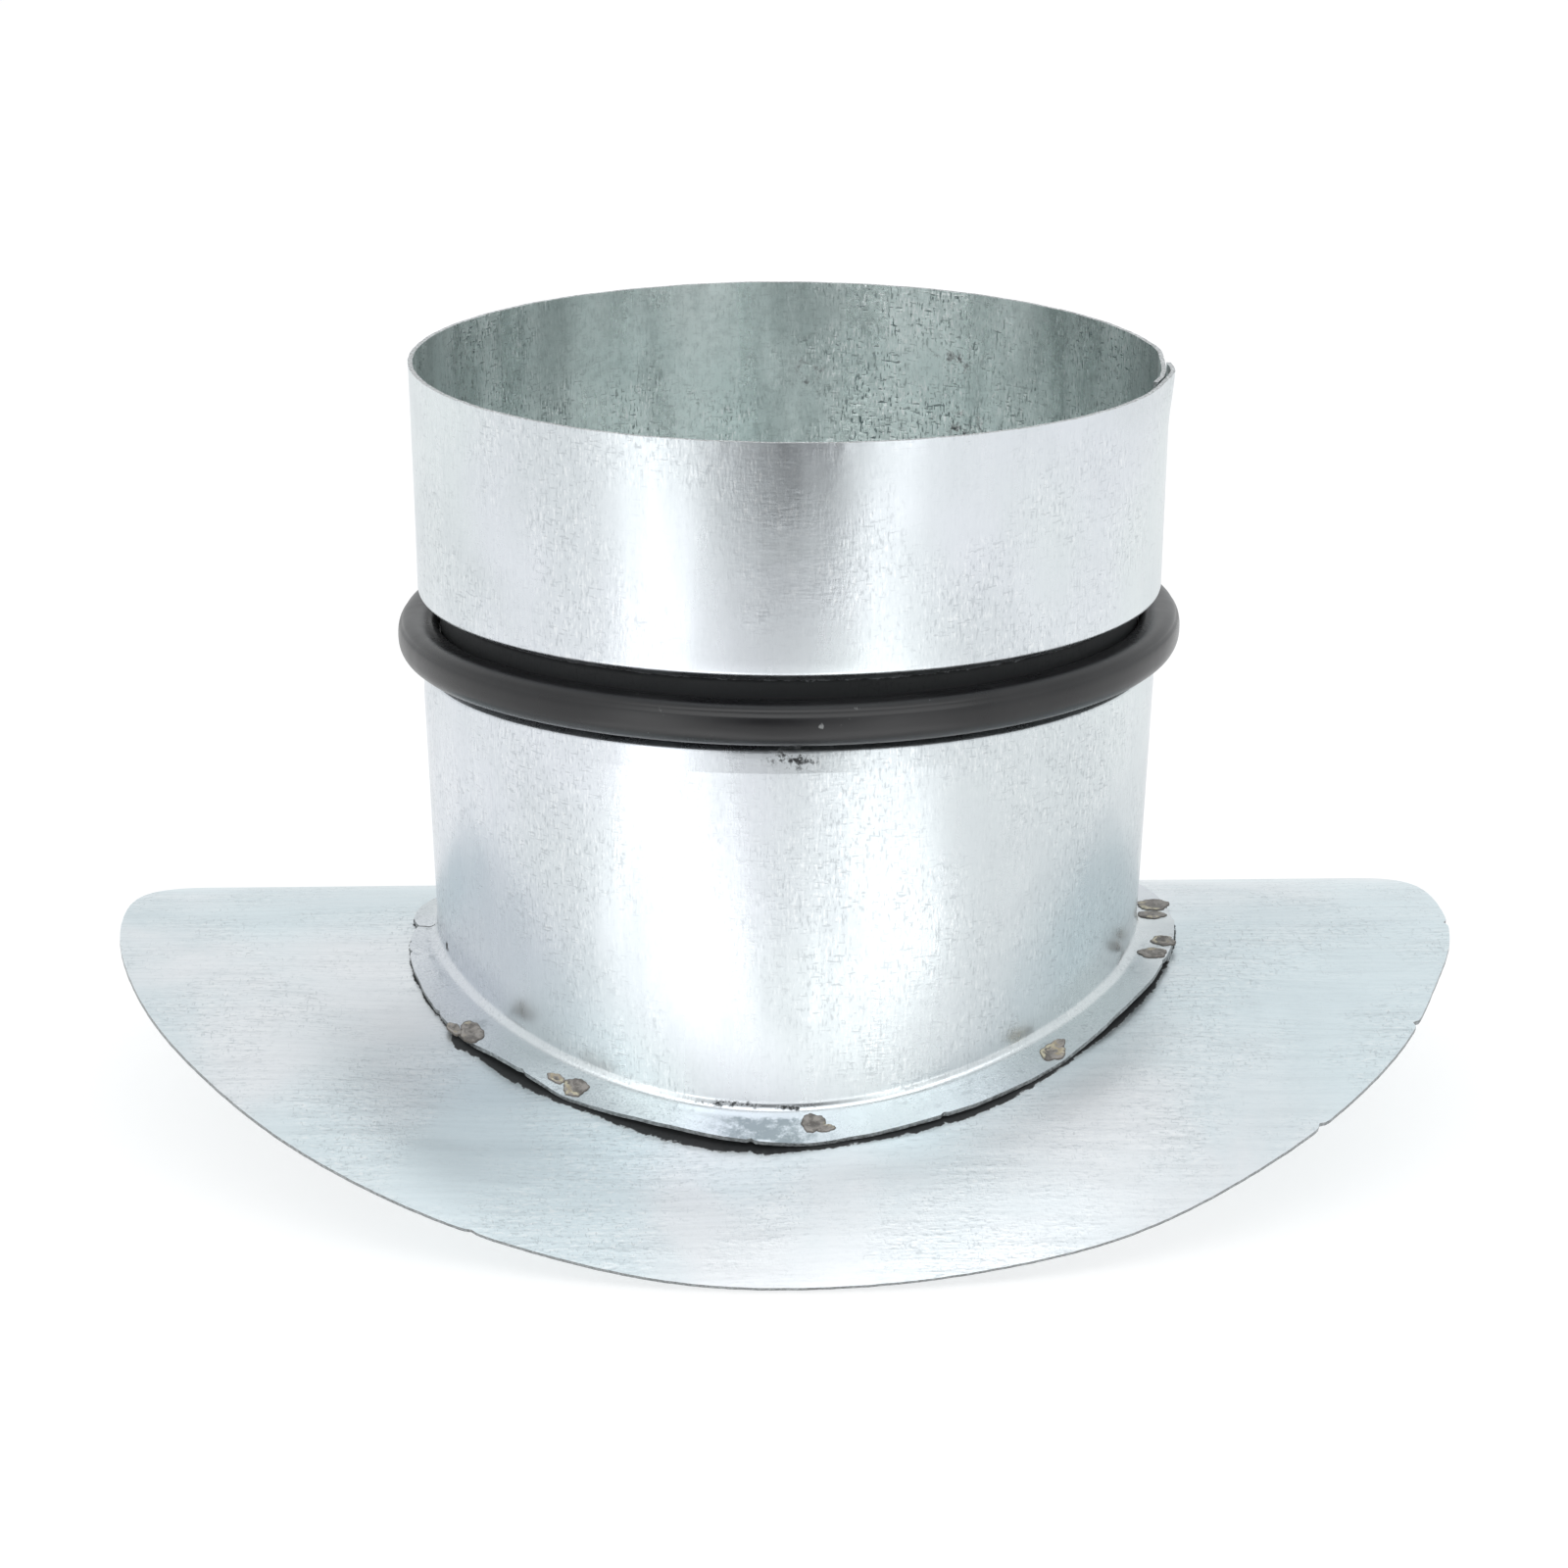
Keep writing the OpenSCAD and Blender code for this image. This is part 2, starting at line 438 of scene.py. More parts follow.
# Dark marks on the wall: angle, height in mm, half width in degrees, half height in mm and how dark
# they are from 0 to 1. The last, under the ring, is a painted reflection of the ring; the others are
# smudges at the foot.
SMUDGES_AND_PAINTED_REFLECTION = (
    (-177, 2.6, 0.8, 0.7, 0.9),
    (-166, 1.4, 1.2, 1.1, 0.75),
    (-101, -8.3, 6.0, 0.45, 0.62),
    (-92, -8.5, 3.5, 0.4, 0.62),
    # Painted reflection of the dark ring on the groove's lower shoulder
    (-91.8, 38.2, 5.0, 1.7, 0.55),
)

# Smudges in the same columns, on the wall's inner face only
INSIDE_SMUDGES = (
    (60, 69.0, 6.0, 3.0, 0.37),
    (57, 60.0, 6.0, 3.5, 0.42),
    (84, 66.0, 3.0, 5.0, 0.34),
)

# A point counts as on the wall up to this far outside the foot, and this much for each metre up
WALL_MARGIN, WALL_SPREAD = 0.5 * MM, 0.05

# The flange's dull stretch: angle and half width in degrees
DULL_FLANGE = (-95, 10)

# Radius of the row of welds, and how far and how deeply the sheet is dull round each of them
WELD_ROW_R = FOOT_R + FLANGE_W * 0.55
HALO_R, HALO_DEPTH = 3.0 * MM, 0.6


def make_collar():
    """The rolled strip with its lapped ends, its groove and its slit flange."""
    slit_half = math.degrees(SLIT_W / 2 / (FOOT_R + FLANGE_W))
    slit = [SLIT_ANGLE - slit_half, SLIT_ANGLE + slit_half]
    turns = np.linspace(LAP_START, LAP_END + 360, TURNS)
    turns = turns[(turns < slit[0] - SLIT_CLEAR) | (turns > slit[1] + SLIT_CLEAR)]
    turns = np.sort(np.append(turns, slit))
    outer, inner = collar_face(turns, 0), collar_face(turns, SHEET)
    present = np.ones((outer.shape[0] - 1, outer.shape[1] - 1), bool)
    line = int(np.searchsorted(turns, slit[0]))
    present[line, -SLIT_ROWS:] = False
    collar = sheet_mesh("rolled_collar", outer, inner, present, inner_slot=2, cut_slot=3)
    mark_stain(collar)
    mark_soil_and_painted_shade(collar)
    return collar


def mark_soil_and_painted_shade(collar):
    """How dark the collar is, from 0 to 1: painted shade in the groove and on the flange's underside,
    smudges, and a painted reflection of the ring below it.
    """
    co = points_of(collar)
    angle, height = np.degrees(np.arctan2(co[:, 1], co[:, 0])), co[:, 2]
    under = np.zeros(len(co), np.float32)
    collar.data.attributes["under"].data.foreach_get("value", under)

    # Painted shade on the groove's outer face, from its lower shoulder to just under the band
    soil_and_painted_shade = smooth((height - WAIST_Z - 3.2 * MM) / MM) * smooth((BAND_Z - 0.7 * MM - height) / MM)
    soil_and_painted_shade = soil_and_painted_shade * (1 - under)

    radius = np.hypot(co[:, 0], co[:, 1])
    on_wall = radius < FOOT_R + WALL_MARGIN + WALL_SPREAD * np.maximum(height, 0)
    for dark_marks, side in ((SMUDGES_AND_PAINTED_REFLECTION, on_wall), (INSIDE_SMUDGES, under)):
        for at, up, half_angle, half_height, depth in dark_marks:
            near = bump_at(turn_gap(angle, at), 0, half_angle)
            near = near * bump_at(height, up * MM, half_height * MM)
            soil_and_painted_shade = np.maximum(soil_and_painted_shade, depth * near * side)
    # Painted shade on the flange's underside, which shows in the gap under its lifted edge
    on_flange = smooth((radius - FOOT_R) / MM) * (height < 2 * MM)
    point_values(collar, "soil_and_painted_shade", np.maximum(soil_and_painted_shade, under * on_flange))


def mark_stain(piece):
    """How dull a sheet is, from 0 to 1: round the spot welds and along a stretch of the flange."""
    co = points_of(piece)
    angle = np.degrees(np.arctan2(co[:, 1], co[:, 0]))
    radius = np.hypot(co[:, 0], co[:, 1])
    stain = np.zeros(len(co))
    for weld in WELD_ANGLES:
        across = np.radians(turn_gap(angle, weld)) * radius
        along = radius - WELD_ROW_R
        halo = HALO_DEPTH * np.exp(-(across**2 + along**2) / HALO_R**2)
        stain = np.maximum(stain, halo)
    at, half = DULL_FLANGE
    stain = np.maximum(stain, bump_at(turn_gap(angle, at), 0, half) * (radius < FOOT_R + FLANGE_W))
    stain *= smooth((radius - FOOT_R - WALL_SPREAD * np.maximum(co[:, 2], 0)) / MM - 0.5)
    point_values(piece, "stain", stain)


# --- Saddle plate ------------------------------------------------------------------------------
# Nicks in the plate's edge: angle of the outline, depth in mm, half width in degrees
NICKS = (
    (-1.5, 0.5, 0.5),
    (-24.5, 0.7, 0.35),
    (-42.5, 0.5, 0.4),
    (151.0, 0.5, 0.5),
    (-118.0, 0.3, 0.4),
)

# Radii of the plate's closed rows near the flange's edge, its rows inside and outside those, and its
# points in a row
FINE_RADII = (49.5 * MM, 57.1 * MM, 0.4 * MM)
INNER_ROWS, OUTER_ROWS = 4, 20
PLATE_POINTS = 720

# Depth of the faint waves that the bending left in the plate
PLATE_WAVE = 0.10 * MM

# The painted shade beside the flange: its width past the edge, how much that varies and its soft side
SHADE_W, SHADE_WOBBLE, SHADE_BLUR = 0.10 * MM, 0.07 * MM, 0.4 * MM

# Where the painted shade is wide: angle, extra width in mm, half width in degrees
WIDE_GAPS = (
    (-108, 0.35, 16),
    (-144.5, 1.2, 2.2),
    (-134, 0.45, 7),
    (-66, 0.35, 12),
    (-34, 0.12, 14),
)

# Where the plate sinks away from the flange's edge: angle, depth in mm, half width in degrees; and
# how far from the edge the dents reach
PLATE_DENTS = ((-112, 0.35, 10), (-96, 0.35, 9), (-135, 0.4, 8), (-33, 0.35, 12))
DENT_REACH = 7 * MM

# Where the oval outline runs wide or narrow: angle, extra size in percent, half width in degrees
PLATE_SWELLS = ((24, 3.5, 15), (-17, -0.9, 9), (-61, 0.9, 14), (-140, 0.5, 16), (160, 2.3, 13))


def plate_outline(angles):
    """The uneven outline of the flat blank: along the duct, and round it as an arc."""
    turn = np.radians(angles)
    half_l = plate_high.x
    half_arc = PLATE_TOP_R * math.asin(plate_high.y / PLATE_TOP_R)
    trim = 0.12 * MM * wobble(angles, 21, (7, 12, 19))
    trim += 0.03 * MM * wobble(angles, 22, (83, 131, 197))
    for at, depth, half in NICKS:
        trim += depth * MM * bump_at(turn_gap(angles, at), 0, half)
    swell = 1
    for at, extra, half in PLATE_SWELLS:
        swell += extra / 100 * bump_at(turn_gap(angles, at), 0, half)
    return (half_l - trim) * np.cos(turn) * swell, (half_arc - trim) * np.sin(turn) * swell


def plate_rows(angles):
    """The plate's closed rows from the hole outwards: x, bend round the duct, share of the way out."""
    turn = np.radians(angles)
    inner_radii = np.linspace(HOLE_R, FINE_RADII[0], INNER_ROWS)[:-1]
    rows = []
    for radius in np.append(inner_radii, np.arange(*FINE_RADII)):
        rows.append((radius * np.cos(turn), np.arcsin(radius * np.sin(turn) / PLATE_TOP_R), 0))
    inner_x, inner_bend, _ = rows[-1]
    rim_x, rim_arc = plate_outline(angles)
    for share in np.linspace(0, 1, OUTER_ROWS + 1)[1:]:
        x = inner_x + (rim_x - inner_x) * share
        rows.append((x, inner_bend + (rim_arc / PLATE_TOP_R - inner_bend) * share, share))
    return rows


def bent_points(x, bend, share, depth):
    """Points of one row of the plate at a depth below its top, bent, askew at the foot and dented."""
    wave = PLATE_WAVE * np.sin(x / (19 * MM) + 2) * np.sin(bend * 5 + 1) * share
    reach = PLATE_TOP_R - depth + wave
    y, z = reach * np.sin(bend), reach * np.cos(bend) - SEAT_R
    radius, angle = np.hypot(x, y), np.arctan2(y, x)
    turned_y = radius * np.sin(angle - askew(angle, radius))
    z += saddle_z(turned_y, SHEET) - saddle_z(y, SHEET)
    near_flange = bump_at(radius, FOOT_R + FLANGE_W, DENT_REACH)
    for at, deep, half in PLATE_DENTS:
        z -= deep * MM * bump_at(turn_gap(np.degrees(angle), at), 0, half) * near_flange
    return np.stack([x, y, z], axis=-1)


def make_plate():
    """The oval blank, bent round the main duct, with the hole for the air."""
    rows = plate_rows(np.linspace(0, 360, PLATE_POINTS + 1)[:-1])
    faces = []
    for depth in (0, SHEET):
        faces.append(np.stack([bent_points(*row, depth) for row in rows], axis=1))
    plate = sheet_mesh("bent_saddle_plate", faces[0], faces[1], closed=True)
    mark_stain(plate)
    mark_painted_shade(plate)
    return plate


def mark_painted_shade(plate):
    """Painted shade: the dark strip of the plate that lies under the flange and shows along its edge.
    """
    co = points_of(plate)
    angle = np.degrees(np.arctan2(co[:, 1], co[:, 0]))
    margin = SHADE_W + SHADE_WOBBLE * wobble(angle, 51, (37, 61, 101))
    for at, extra, half in WIDE_GAPS:
        margin += extra * MM * bump_at(turn_gap(angle, at), 0, half)
    past_edge = np.hypot(co[:, 0], co[:, 1]) - flange_edge(angle) - margin
    point_values(plate, "soil_and_painted_shade", 1 - smooth(past_edge / SHADE_BLUR + 0.5))


# --- Seal ring ---------------------------------------------------------------------------------
# Points round the ring and round its section, the power that makes the section slightly square
# (2 is round), and the section's size as a share of the CAD ring's
RING_POINTS, SECTION_POINTS = 480, 72
SQUARENESS = 2.5
RING_SIZE = 0.985

# The section's groove line and its raised mould seam: place on the section in degrees, depth (a
# negative one stands out), half width in degrees
FINE_LINE = (36, 0.13 * MM, 4.0)
MOULD_SEAM = (-62, -0.07 * MM, 3.5)

# Where the ring sits low, with the groove: angle, depth, half width in degrees
RING_SAGS = ((180, 1.5 * MM, 55), (-90, 0.3 * MM, 45))


def make_ring():
    """The rubber ring: a slightly squared section, carried round with a little slack."""
    around = np.linspace(0, 360, RING_POINTS + 1)[:-1]
    degrees = np.linspace(0, 360, SECTION_POINTS + 1)[:-1]
    cos, sin = np.cos(np.radians(degrees)), np.sin(np.radians(degrees))
    reach = (np.abs(cos) ** SQUARENESS + np.abs(sin) ** SQUARENESS) ** (-1 / SQUARENESS)
    reach = reach * RING_T / 2 * RING_SIZE
    for at, depth, half in (FINE_LINE, MOULD_SEAM):
        reach -= depth * bump_at(turn_gap(degrees, at), 0, half)
    slack = 0.10 * MM * wobble(around, 31, (2, 3, 5))[:, None]
    radius = RING_R + reach * cos + slack
    height = RING_Z + reach * sin + 0.08 * MM * wobble(around, 32, (3, 4))[:, None]
    for at, depth, half in RING_SAGS:
        height -= depth * bump_at(turn_gap(around, at), 0, half)[:, None]
    turn = np.radians(around)[:, None]
    grid = np.stack([radius * np.cos(turn), radius * np.sin(turn), height], axis=-1)
    rows, columns = grid.shape[:2]
    index = np.arange(rows * columns).reshape(rows, columns)
    next_row, next_column = np.roll(index, -1, 0), np.roll(index, -1, 1)
    both = np.roll(next_row, -1, 1)
    faces = np.stack([index, next_row, both, next_column], axis=-1).reshape(-1, 4)
    mesh = bpy.data.meshes.new("rubber_seal")
    mesh.from_pydata(grid.reshape(-1, 3).tolist(), [], faces.tolist())
    return finish_mesh("rubber_seal", mesh, sharp_angle=60)


# --- Spot welds --------------------------------------------------------------------------------
# Marks of the flange's welds: angle, radius from the foot as a share of the flange's width,
# half length across and along the radius in mm, slant in degrees
WELD_MARKS = (
    (-144.6, 0.90, 2.3, 1.6, 25), (-146.8, 1.16, 1.5, 0.8, 10),
    (-125, 0.62, 1.7, 1.5, 10), (-128.3, 0.66, 1.2, 0.8, -10),
    (-88.6, 0.42, 1.5, 1.5, 5), (-86.8, 0.62, 1.1, 0.6, 0),
    (-50, 0.68, 1.7, 1.6, -20), (-48, 0.55, 1.1, 0.8, 0),
    (-18.5, 0.66, 1.7, 1.9, 10), (-13.5, 0.78, 1.7, 1.6, -8),
    (1.0, 0.50, 1.9, 1.9, -10), (6.6, 0.70, 2.4, 2.3, 8),
    (38, 0.55, 1.9, 1.4, 15), (72, 0.60, 2.0, 1.2, 0),
    (106, 0.50, 1.8, 1.4, -12), (140, 0.58, 2.0, 1.3, 20),
)
MARK_RINGS, MARK_SIDES = 8, 40

# How far a mark's top and bottom are from the sheet's face, on the flange and on the seam
FLANGE_MARK = (0.02 * MM, -0.12 * MM)
SEAM_MARK = (0.1 * MM, -0.3 * MM)

# The seam's marks: first seed, half length across and along in mm, slant added for each in degrees
SEAM_SEED, SEAM_ACROSS, SEAM_ALONG, SEAM_SLANT = 40, 1.8, 1.5, 15


def weld_mark(seed, half_across, half_along, slant):
    """One mark as rings of (across, along, height, distance from the middle) on a flat sheet."""
    random = np.random.RandomState(seed)
    side = np.linspace(0, 360, MARK_SIDES + 1)[:-1]
    outline = 1 + 0.14 * wobble(side, seed + 100, (2, 3, 5))
    outline += 0.05 * wobble(side, seed + 200, (8, 13))
    lean = math.radians(slant)
    rings = []
    for k in range(1, MARK_RINGS + 1):
        share = k / MARK_RINGS
        across = half_across * share * outline * np.cos(np.radians(side))
        along = half_along * share * outline * np.sin(np.radians(side))
        turned = across * math.cos(lean) - along * math.sin(lean)
        along = across * math.sin(lean) + along * math.cos(lean)

        # Heights in mm: a crown with a hollow middle, a raised ring near the edge, a rough skin
        crown = 0.06 + 0.10 * (1 - share**3) - 0.10 * bump_at(share, 0.15, 0.35)
        rim = 0.10 * bump_at(share, 0.74, 0.14)
        rough = 0.035 * wobble(side + 40 * share, seed + 300 + k, (4, 7, 11)) * (share < 1)
        rings.append(np.stack([turned, along, crown + rim + rough, share + 0 * side], axis=-1))
    middle = np.array([0, 0, 0.07 + random.uniform(-0.02, 0.02), 0])
    return np.vstack([middle[None], np.concatenate(rings)]) * np.array([MM, MM, MM, 1])


def cap_faces(first, under):
    """Faces of a closed round cap: the top's middle point and its rings, then the same under it."""
    top = []
    for s in range(MARK_SIDES):
        t = (s + 1) % MARK_SIDES
        top.append((first, first + 1 + s, first + 1 + t))
        for k in range(MARK_RINGS - 1):
            a, b = first + 1 + k * MARK_SIDES + s, first + 1 + k * MARK_SIDES + t
            top.append((a, a + MARK_SIDES, b + MARK_SIDES, b))
    last_ring = (MARK_RINGS - 1) * MARK_SIDES
    low = [tuple(reversed([p + under for p in face])) for face in top]
    wall = []
    for s in range(MARK_SIDES):
        t = (s + 1) % MARK_SIDES
        a, b = first + 1 + last_ring + s, first + 1 + last_ring + t
        wall.append((a, a + under, b + under, b))
    return top + low + wall


def caps_object(name, caps):
    """One object from closed caps, each a top and a bottom array of points with their distances."""
    points, faces, distances = [], [], []
    for top, bottom, distance in caps:
        first = len(points)
        faces += cap_faces(first, len(top))
        points += top.tolist() + bottom.tolist()
        distances += distance.tolist() * 2
    mesh = bpy.data.meshes.new(name)
    mesh.from_pydata(points, [], faces)
    piece = finish_mesh(name, mesh)
    point_values(piece, "from_middle", distances)
    return piece


def make_flange_welds():
    """The marks of the welds that hold the flange to the plate."""
    caps = []
    for seed, (angle, share, half_across, half_along, slant) in enumerate(WELD_MARKS):
        mark = weld_mark(seed, half_across, half_along, slant)
        radius = FOOT_R + FLANGE_W * share + mark[:, 1]
        turn = angle + np.degrees(mark[:, 0] / radius)
        turn = np.where(turn < LAP_START, turn + 360, turn)
        on_outer_end = (turn < LAP_END) & (turn >= LAP_START)
        turn = np.where(on_outer_end, turn + 360, turn)
        surface = flange_surface(turn, np.minimum(radius, flange_edge(turn)), 0)
        sides = []
        for height in (mark[:, 2] + FLANGE_MARK[0], np.full(len(mark), FLANGE_MARK[1])):
            x = radius * np.cos(np.radians(turn))
            y = radius * np.sin(np.radians(turn))
            sides.append(np.stack([x, y, surface + height], axis=-1))
        caps.append((sides[0], sides[1], mark[:, 3]))
    return caps_object("flange_spot_welds", caps)


def make_seam_welds():
    """The marks of the welds that close the lap, on its inner face."""
    caps = []
    middle = (LAP_START + LAP_END) / 2
    for k, height in enumerate(SEAM_WELD_Z):
        mark = weld_mark(SEAM_SEED + k, SEAM_ACROSS, SEAM_ALONG, SEAM_SLANT * k)
        depth = np.full(len(mark), 2 * SHEET + LAYER_GAP)
        up = height + mark[:, 1]
        wall = BAND_R if height > BAND_Z else FOOT_R + (WAIST_R - FOOT_R) * height / WAIST_Z
        sides = []
        for rise in (mark[:, 2] + SEAM_MARK[0], np.full(len(mark), SEAM_MARK[1])):
            radius = wall - depth - rise
            turn = np.radians(middle - np.degrees(mark[:, 0] / wall))
            sides.append(np.stack([radius * np.cos(turn), radius * np.sin(turn), up], axis=-1))
        caps.append((sides[0], sides[1], mark[:, 3]))
    return caps_object("seam_spot_welds", caps)


# --- Materials ---------------------------------------------------------------------------------
class Nodes:
    """Short ways to write a material's nodes."""

    def __init__(self, name):
        self.material = bpy.data.materials.new(name)
        self.material.use_nodes = True
        self.tree = self.material.node_tree
        self.tree.nodes.clear()
        self.shader = self.tree.nodes.new("ShaderNodeBsdfPrincipled")
        output = self.tree.nodes.new("ShaderNodeOutputMaterial")
        self.tree.links.new(self.shader.outputs[0], output.inputs[0])
        self.place = self.tree.nodes.new("ShaderNodeTexCoord").outputs["Object"]

    def _feed(self, socket, value):
        """Links a socket to another node's output, or sets it to a plain value."""
        if isinstance(value, bpy.types.NodeSocket):
            self.tree.links.new(value, socket)
        else:
            socket.default_value = value

    def stretched(self, x, y, z):
        """The object's coordinates, scaled by a factor on each axis."""
        node = self.tree.nodes.new("ShaderNodeMapping")
        node.inputs["Scale"].default_value = (x, y, z)
        self.tree.links.new(self.place, node.inputs[0])
        return node.outputs[0]

    def noise(self, where, scale, detail=3.0, rough=0.6, warp=0.0):
        """Cloudy noise from 0 to 1, with scale waves to the metre."""
        node = self.tree.nodes.new("ShaderNodeTexNoise")
        self._feed(node.inputs["Vector"], where)
        node.inputs["Scale"].default_value = scale
        node.inputs["Detail"].default_value = detail
        node.inputs["Roughness"].default_value = rough
        node.inputs["Distortion"].default_value = warp
        return node.outputs["Fac"]

    def value_of(self, name):
        """The number that point_values gave the piece's points under a name."""
        node = self.tree.nodes.new("ShaderNodeAttribute")
        node.attribute_name = name
        return node.outputs["Fac"]

    def math(self, kind, a, b=0.0):
        """One step of arithmetic on two values."""
        node = self.tree.nodes.new("ShaderNodeMath")
        node.operation = kind
        self._feed(node.inputs[0], a)
        self._feed(node.inputs[1], b)
        return node.outputs[0]

    def ramp(self, value, low, high, to_low=0.0, to_high=1.0):
        """value mapped from low..high to to_low..to_high with smooth ends."""
        node = self.tree.nodes.new("ShaderNodeMapRange")
        node.interpolation_type = "SMOOTHSTEP"
        self._feed(node.inputs["Value"], value)
        limits = {"From Min": low, "From Max": high, "To Min": to_low, "To Max": to_high}
        for name, number in limits.items():
            node.inputs[name].default_value = number
        return node.outputs["Result"]

    def mix(self, share, a, b):
        """A colour between a and b."""
        node = self.tree.nodes.new("ShaderNodeMix")
        node.data_type = "RGBA"
        self._feed(node.inputs[0], share)
        self._feed(node.inputs[6], a)
        self._feed(node.inputs[7], b)
        return node.outputs[2]

    def bump(self, height, distance, strength=1.0, normal=None):
        """A normal bent by a height from 0 to 1, on top of another normal if there is one."""
        node = self.tree.nodes.new("ShaderNodeBump")
        node.inputs["Distance"].default_value = distance
        node.inputs["Strength"].default_value = strength
        self._feed(node.inputs["Height"], height)
        if normal is not None:
            self.tree.links.new(normal, node.inputs["Normal"])
        return node.outputs[0]

    def set(self, **values):
        """Sets the shader's sockets; an underscore in a name stands for a space."""
        for name, value in values.items():
            self._feed(self.shader.inputs[name.replace("_", " ")], value)


def colour(r, g, b):
    """A colour with no transparency."""
    return (r, g, b, 1.0)


# What every galvanised sheet shares: bright brushing, bright beads, dull stretches, and soil and
# painted shade
BRUSHED_ZINC = colour(0.95, 0.97, 0.97)
BEAD_ZINC = colour(0.97, 0.98, 0.98)
DULL_ZINC = colour(0.25, 0.29, 0.31)
SOIL_AND_PAINTED_SHADE = colour(0.008, 0.009, 0.010)


def galvanised(name, along, across, tints, stipple, rough=0.27, mottle=0.0, brushed=0.12):
    """Bright zinc-coated sheet, dull at "stain" and dark where soil and painted shade are marked.

    along and across are the stretches of its rolled grain and of the fainter marks at right angles
    to it, on x, y and z. tints are its bright, cool, dull and stained zinc. stipple is the depth of
    its pitted skin, rough its middle roughness, mottle and brushed the strength of its smears and
    of its brushing.
    """
    n = Nodes(name)

    # The rolled grain, fine and broad; short dashes and smears along it; marks across it; clouds
    milder = n.stretched(*[0.25 + 0.75 * k for k in along])
    grain = n.noise(n.stretched(*along), 1500, 4, 0.6)
    broad = n.noise(n.stretched(*along), 170, 3, 0.6)
    dashes = n.noise(milder, 3300, 2, 0.5)
    marks = n.noise(n.stretched(*across), 2900, 2, 0.5)
    clouds = n.noise(n.place, 26, 4, 0.55, 0.6)
    hues = n.noise(n.place, 17, 2, 0.5)
    gathered = n.noise(n.place, 48, 4, 0.65)
    spangle = n.noise(n.place, 700, 4, 0.75)
    smears = n.noise(milder, 90, 3, 0.6)

    # Pits and beads of the skin, gathered in patches
    patch = n.ramp(gathered, 0.40, 0.62, 0.15, 1.0)
    pits = n.math("MAXIMUM", n.ramp(dashes, 0.57, 0.67), n.ramp(marks, 0.60, 0.69))
    pits = n.math("MULTIPLY", n.math("MULTIPLY", pits, patch), stipple)
    beads = n.math("MULTIPLY", n.ramp(dashes, 0.44, 0.34), n.math("MULTIPLY", patch, stipple))

    # Colour: soft hues, brushing, smears, then the pits and beads
    bright, cool, dull, stain = tints
    base = n.mix(n.ramp(hues, 0.42, 0.58), bright, cool)
    base = n.mix(n.ramp(clouds, 0.34, 0.72), base, dull)
    brushing = n.math("MULTIPLY", n.ramp(gathered, 0.38, 0.66, 0.3, 1.0), brushed)
    base = n.mix(n.math("MULTIPLY", n.ramp(grain, 0.44, 0.66), brushing), base, stain)
    base = n.mix(n.math("MULTIPLY", n.ramp(grain, 0.46, 0.34), brushing), base, BRUSHED_ZINC)
    base = n.mix(n.ramp(smears, 0.40, 0.66, 0.0, mottle), base, stain)
    base = n.mix(n.ramp(spangle, 0.42, 0.66, 0.0, mottle * 0.6), base, stain)
    base = n.mix(n.math("MULTIPLY", beads, 0.5), base, BEAD_ZINC)
    base = n.mix(n.math("MULTIPLY", pits, 0.42), base, stain)

    # Dull places, and soiled places and painted shade, with the spangle breaking their edges
    stained = n.math("MULTIPLY", n.value_of("stain"), n.ramp(spangle, 0.3, 0.65, 0.5, 1.15))
    base = n.mix(n.ramp(stained, 0.30, 0.95, 0.0, 0.85), base, DULL_ZINC)
    soil_and_painted_shade = n.math("ADD", n.value_of("soil_and_painted_shade"), n.ramp(spangle, 0.32, 0.68, -0.3, 0.3))
    soil_and_painted_shade = n.ramp(soil_and_painted_shade, 0.32, 0.72)
    base = n.mix(n.math("MULTIPLY", soil_and_painted_shade, 0.97), base, SOIL_AND_PAINTED_SHADE)

    # Roughness: uneven, more in the pits and under the soil and painted shade
    roughness = n.ramp(broad, 0.30, 0.70, rough - 0.05, rough + 0.05)
    roughness = n.math("ADD", roughness, n.ramp(clouds, 0.35, 0.7, 0, 0.06))
    roughness = n.math("ADD", roughness, n.math("MULTIPLY", pits, 0.12))
    roughness = n.math("ADD", roughness, n.math("MULTIPLY", soil_and_painted_shade, 0.4))

    # Relief: the rolled lines and the pitted skin
    lines = n.math("ADD", n.math("MULTIPLY", grain, 0.35), n.math("MULTIPLY", broad, 0.9))
    normal = n.bump(lines, 0.012 * MM, 0.5)
    skin = n.math("MULTIPLY", n.math("ADD", dashes, n.math("MULTIPLY", marks, 0.8)), patch)
    normal = n.bump(skin, 0.05 * MM, 0.75 * stipple, normal)
    n.set(
        Base_Color=base,
        Metallic=n.math("SUBTRACT", 1.0, n.math("MULTIPLY", soil_and_painted_shade, 0.8)),
        Roughness=roughness,
        Normal=normal,
    )
    return n.material


def cut_edge(name, dark, light):
    """The sheared edge of the sheet: bare metal with fine tear marks."""
    n = Nodes(name)
    tears = n.noise(n.place, 2600, 3, 0.6)
    n.set(
        Base_Color=n.mix(n.ramp(tears, 0.35, 0.7), dark, light),
        Metallic=0.9,
        Roughness=n.ramp(tears, 0.3, 0.7, 0.38, 0.6),
        Normal=n.bump(tears, 0.03 * MM, 0.6),
    )
    return n.material


